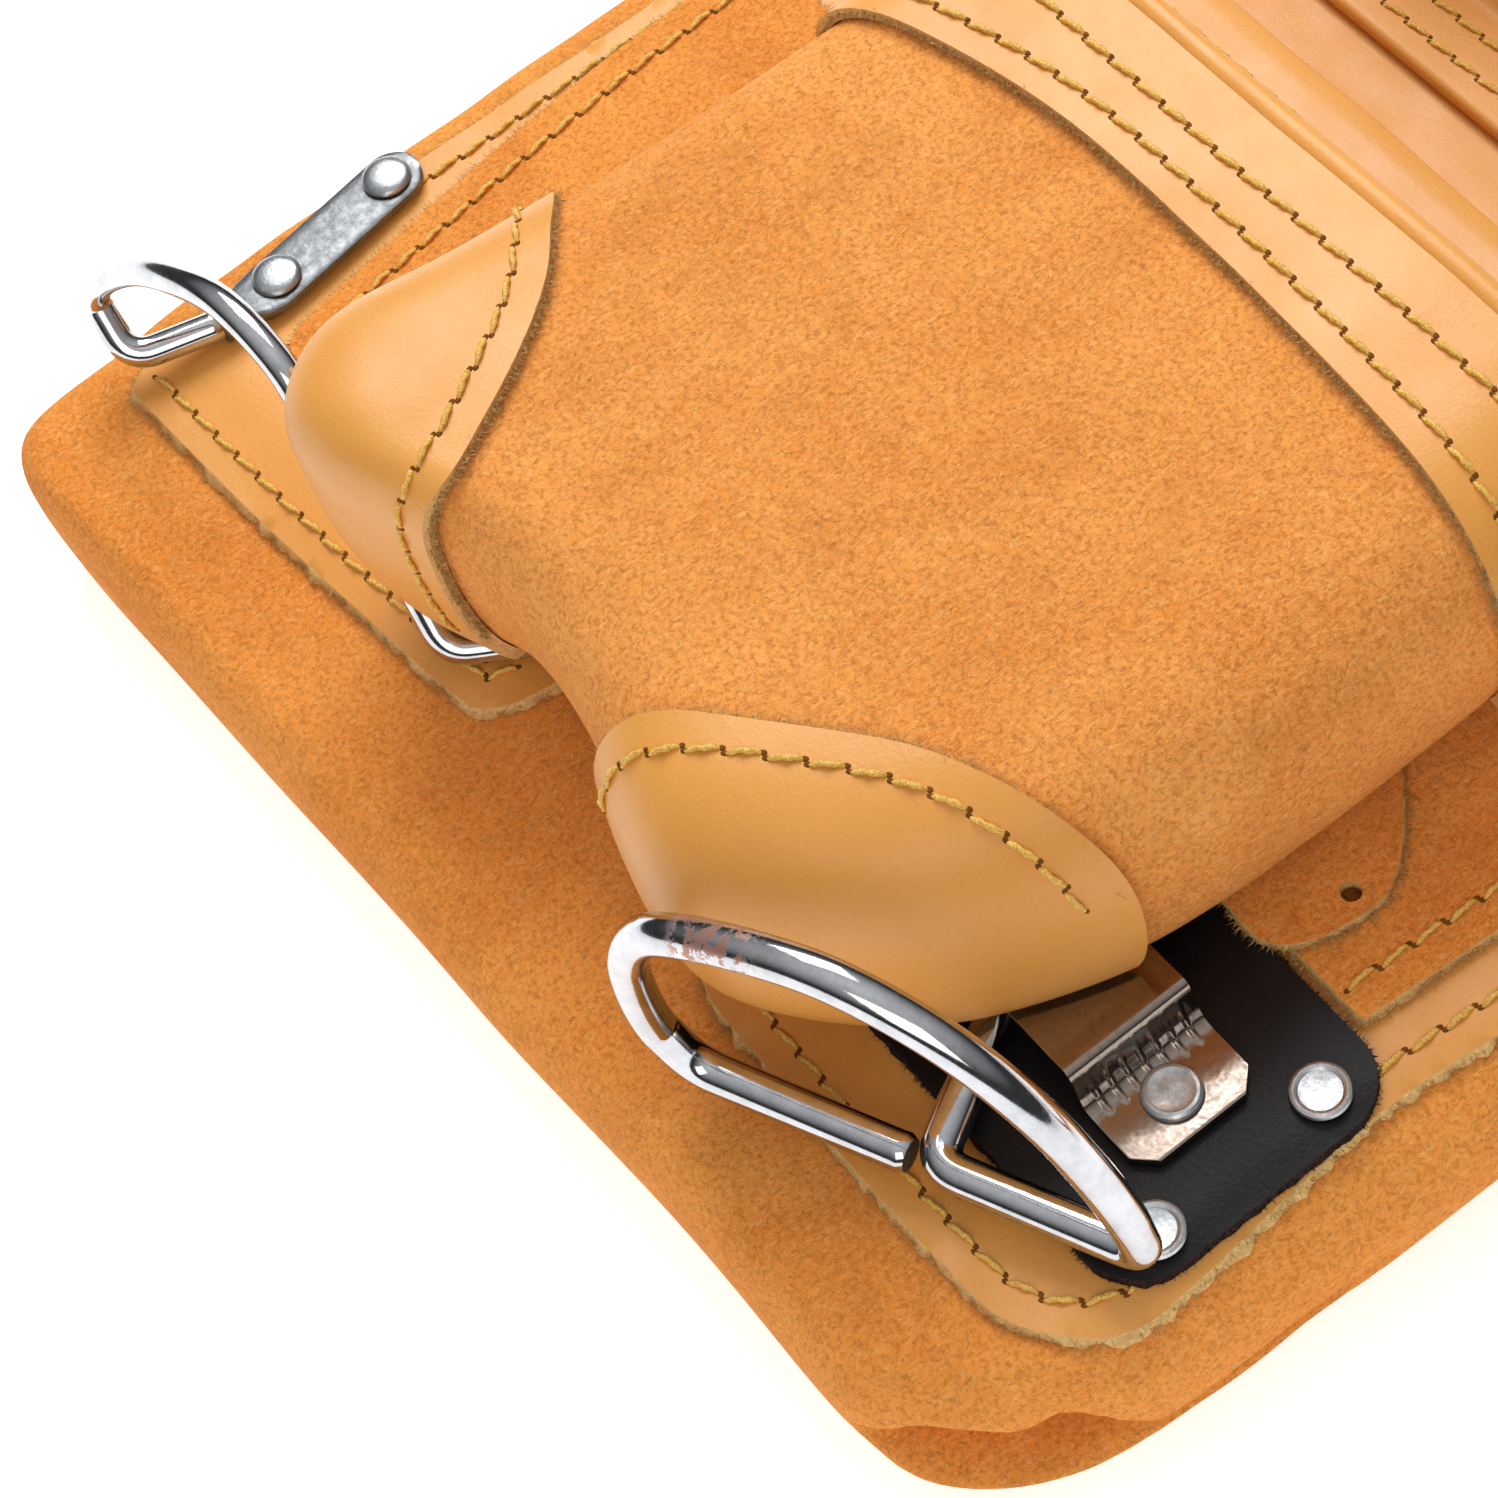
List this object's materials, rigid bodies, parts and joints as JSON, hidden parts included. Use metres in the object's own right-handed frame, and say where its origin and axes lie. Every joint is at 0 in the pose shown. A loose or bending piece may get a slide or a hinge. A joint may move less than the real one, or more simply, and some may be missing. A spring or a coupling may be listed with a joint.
{
  "type": "tool belt",
  "caption": "Leather carpenter's tool bag on a buckled waist belt, with a box pocket, a fixed wire hammer loop and a swinging hammer ring.",
  "frame": {"origin": "on the back panel's outer face, which lies against the hip, below its middle", "axes": "+X to the bag's right as it lies on its back, +Y up the bag towards the belt tunnel, +Z out of the front"},
  "size_m": [0.5208, 0.2902, 0.0886],
  "materials": {
    "suede": "napped suede, yellow-orange",
    "smooth_leather": "smooth top grain with a soft sheen",
    "black_leather": "smooth black, soft sheen",
    "belt_leather": "smooth top grain",
    "chromed_steel": "bright polished",
    "nickel_plate": "bright, slightly warm",
    "zinc_rivet": "satin zinc"
  },
  "bodies": {
    "bag": {"main_pocket": "suede", "left_flange": "suede", "right_flange": "suede", "gusset_tongue": "suede", "front_pocket": "suede", "back_panel": "smooth_leather", "belt_tunnel": "smooth_leather", "main_pocket_band": "smooth_leather", "left_strip": "smooth_leather", "right_strip": "smooth_leather", "front_pocket_band": "smooth_leather", "left_corner_patch": "smooth_leather", "right_corner_patch": "smooth_leather", "black_patch": "black_leather", "fixed_hammer_loop": "chromed_steel", "keeper_plate": "nickel_plate", "fixed_loop_rivet_1": "zinc_rivet", "fixed_loop_rivet_2": "zinc_rivet", "fixed_loop_rivet_3": "zinc_rivet", "fixed_loop_rivet_4": "zinc_rivet", "patch_rivet_1": "zinc_rivet", "patch_rivet_2": "zinc_rivet", "patch_rivet_3": "zinc_rivet", "patch_rivet_4": "zinc_rivet", "keeper_rivet_1": "zinc_rivet", "keeper_rivet_2": "zinc_rivet", "swing_pivot_rivet": "zinc_rivet"},
    "hammer_ring": {"swing_hammer_loop": "chromed_steel"},
    "belt": {"belt_strap": "belt_leather", "belt_rivet_1": "zinc_rivet", "belt_rivet_2": "zinc_rivet"},
    "keeper": {"belt_keeper": "belt_leather"},
    "buckle": {"buckle_frame": "nickel_plate"},
    "prong": {"buckle_prong": "nickel_plate"},
    "roller": {"buckle_roller": "nickel_plate"}
  },
  "joints": [
    {"name": "hammer_ring_swing", "type": "hinge", "parent": "bag", "child": "hammer_ring", "pos_m": [0.0455, 0.0272, 0.0367], "axis": [0, 0, 1], "range_deg": [-10, 10]},
    {"name": "belt_slide", "type": "slide", "parent": "bag", "child": "belt", "axis": [1, 0, 0], "range_m": [-0.06, 0.06]},
    {"name": "keeper_slide", "type": "slide", "parent": "belt", "child": "keeper", "axis": [1, 0, 0], "range_m": [-0.018, 0.11]},
    {"name": "buckle_hinge", "type": "hinge", "parent": "belt", "child": "buckle", "pos_m": [0.02, 0.2055, 0.0491], "axis": [0, 1, 0], "range_deg": [-30, 30]},
    {"name": "prong_hinge", "type": "hinge", "parent": "buckle", "child": "prong", "pos_m": [0.02, 0.2055, 0.0491], "axis": [0, 1, 0], "range_deg": [0, 80]},
    {"name": "roller_spin", "type": "hinge", "parent": "buckle", "child": "roller", "pos_m": [-0.02, 0.2055, 0.0491], "axis": [0, 1, 0], "continuous": true}
  ]
}
